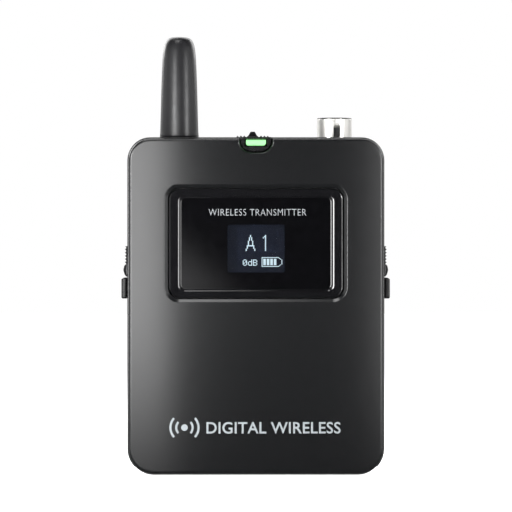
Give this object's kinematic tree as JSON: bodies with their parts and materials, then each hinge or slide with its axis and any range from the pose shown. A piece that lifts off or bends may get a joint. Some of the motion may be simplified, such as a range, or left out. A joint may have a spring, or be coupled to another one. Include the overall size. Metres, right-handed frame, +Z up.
{
  "type": "bodypack transmitter",
  "caption": "Pocket-size belt-worn radio microphone transmitter: hinged front cover with a display window, side latches, stub aerial, mute slider, round socket and steel belt clip.",
  "frame": {"origin": "middle of the flat base of the rear case, with the part standing upright", "axes": "+Z up towards the aerial, front cover and display towards -Y, belt clip towards +Y, microphone socket on the +X side"},
  "size_m": [0.0694, 0.0293, 0.113],
  "materials": {
    "case_plastic": "satin",
    "cover_paint": "satin",
    "gloss_black": "gloss",
    "clear_pane": "gloss",
    "aerial_rubber": "satin",
    "nickel": "polished",
    "bright_steel": "satin",
    "black_steel": "satin",
    "gold_plate": "polished",
    "insulator": "matte",
    "board_green": "satin",
    "chip_plastic": "matte",
    "lamp_green": "satin",
    "display_glass": "gloss",
    "infrared_red": "gloss",
    "key_grey": "matte",
    "cell_jacket": "satin",
    "pad_foam": "matte",
    "label_silver": "satin"
  },
  "bodies": {
    "housing": {"rear_case": "case_plastic", "inner_chassis": "case_plastic", "rating_label": "label_silver", "aerial_sleeve": "aerial_rubber", "aerial_stud": "gold_plate", "aerial_coil": "gold_plate", "mic_socket_shell": "nickel", "mic_socket_nut": "bright_steel", "mic_socket_insert": "insulator", "mic_socket_board": "board_green", "switch_body": "chip_plastic", "light_pipe": "lamp_green", "status_lamp": "lamp_green", "main_board": "board_green", "shield_can": "bright_steel", "processor_chip": "chip_plastic", "power_inductor": "chip_plastic", "audio_capacitor": "bright_steel", "display_glass": "display_glass", "display_holder": "insulator", "infrared_lens": "infrared_red", "infrared_receiver": "chip_plastic", "battery_contact_bridge": "bright_steel", "battery_contact_negative": "bright_steel", "battery_contact_positive": "bright_steel", "case_screw_1": "black_steel", "case_screw_2": "black_steel", "case_screw_3": "black_steel", "case_screw_4": "black_steel", "board_screw_1": "bright_steel", "board_screw_2": "bright_steel", "board_screw_3": "bright_steel", "mic_contact_1": "gold_plate", "mic_contact_2": "gold_plate", "mic_contact_3": "gold_plate", "mic_contact_4": "gold_plate", "key_switch_1": "chip_plastic", "key_switch_2": "chip_plastic", "key_switch_3": "chip_plastic", "cell_upper": "cell_jacket", "cell_lower": "cell_jacket", "latch_spring_left": "bright_steel", "latch_spring_right": "bright_steel"},
    "cover": {"front_cover": "cover_paint", "window_bezel": "gloss_black", "window_pane": "clear_pane", "battery_pad": "pad_foam", "hinge_pin_left": "bright_steel", "hinge_pin_right": "bright_steel"},
    "latch_left_body": {"latch_left": "case_plastic"},
    "latch_right_body": {"latch_right": "case_plastic"},
    "slider": {"mute_slider": "case_plastic"},
    "clip": {"belt_clip": "black_steel"},
    "key_up_body": {"key_up": "key_grey"},
    "key_set_body": {"key_set": "key_grey"},
    "key_down_body": {"key_down": "key_grey"}
  },
  "joints": [
    {"name": "cover_hinge", "type": "hinge", "parent": "housing", "child": "cover", "pos_m": [0, -0.0092, 0.0028], "axis": [1, 0, 0], "range_deg": [0, 90]},
    {"name": "latch_left_press", "type": "slide", "parent": "housing", "child": "latch_left_body", "axis": [1, 0, 0], "range_m": [0, 0.0012], "stiffness_N_per_m": 1000, "springref_m": -0.0004, "deforming": ["latch_spring_left"]},
    {"name": "latch_right_press", "type": "slide", "parent": "housing", "child": "latch_right_body", "axis": [-1, 0, 0], "range_m": [0, 0.0012], "stiffness_N_per_m": 1000, "springref_m": -0.0004, "deforming": ["latch_spring_right"]},
    {"name": "mute_slide", "type": "slide", "parent": "housing", "child": "slider", "axis": [1, 0, 0], "range_m": [0, 0.0016]},
    {"name": "clip_spring", "type": "hinge", "parent": "housing", "child": "clip", "pos_m": [0, 0.0015, 0.0479], "axis": [1, 0, 0], "range_deg": [0, 15], "stiffness_Nm_per_rad": 0.75, "springref_deg": -1.72},
    {"name": "key_up_press", "type": "slide", "parent": "housing", "child": "key_up_body", "axis": [0, 1, 0], "range_m": [0, 0.0005], "stiffness_N_per_m": 800, "springref_m": -0.0002},
    {"name": "key_set_press", "type": "slide", "parent": "housing", "child": "key_set_body", "axis": [0, 1, 0], "range_m": [0, 0.0005], "stiffness_N_per_m": 800, "springref_m": -0.0002},
    {"name": "key_down_press", "type": "slide", "parent": "housing", "child": "key_down_body", "axis": [0, 1, 0], "range_m": [0, 0.0005], "stiffness_N_per_m": 800, "springref_m": -0.0002}
  ]
}
